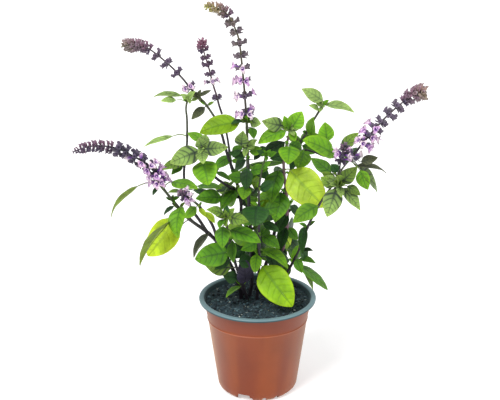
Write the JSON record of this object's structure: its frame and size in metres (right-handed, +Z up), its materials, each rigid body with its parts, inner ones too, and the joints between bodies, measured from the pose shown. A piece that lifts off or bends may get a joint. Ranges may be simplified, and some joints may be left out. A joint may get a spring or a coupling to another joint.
{
  "type": "potted basil plant",
  "caption": "Bushy purple-stemmed basil in flower, standing in a round nursery pot of soil, with broad green leaves and arching purple flower spikes.",
  "frame": {"origin": "centre of the flat hub under the pot, level with the foot that it rests on, on the pot's axis", "axes": "+Z up along the pot's axis; -Y towards the viewer of the reference picture, +X to that viewer's right"},
  "size_m": [0.3466, 0.1895, 0.4301],
  "materials": {
    "pot": "satin",
    "pot_lining": "satin",
    "soil": "matte",
    "perlite": "matte",
    "leaf": "satin",
    "stem": "satin",
    "calyx": "matte",
    "petal": "matte"
  },
  "bodies": {
    "root": {"pot": "pot", "soil": "soil", "leafy_stem_tall": "leaf", "leafy_stem_upper_left": "leaf", "leafy_stem_left": "leaf", "leafy_stem_inner_right": "leaf", "leafy_stem_upper_right": "leaf", "leafy_stem_right": "leaf", "leafy_stem_centre": "leaf", "leafy_stem_front_left": "leaf", "flower_spike_tall": "calyx", "flower_spike_upper_left": "calyx", "flower_spike_short": "calyx", "flower_spike_left": "calyx", "flower_spike_front_left": "calyx", "flower_spike_right": "calyx", "flower_spike_front_right": "calyx"}
  },
  "joints": []
}
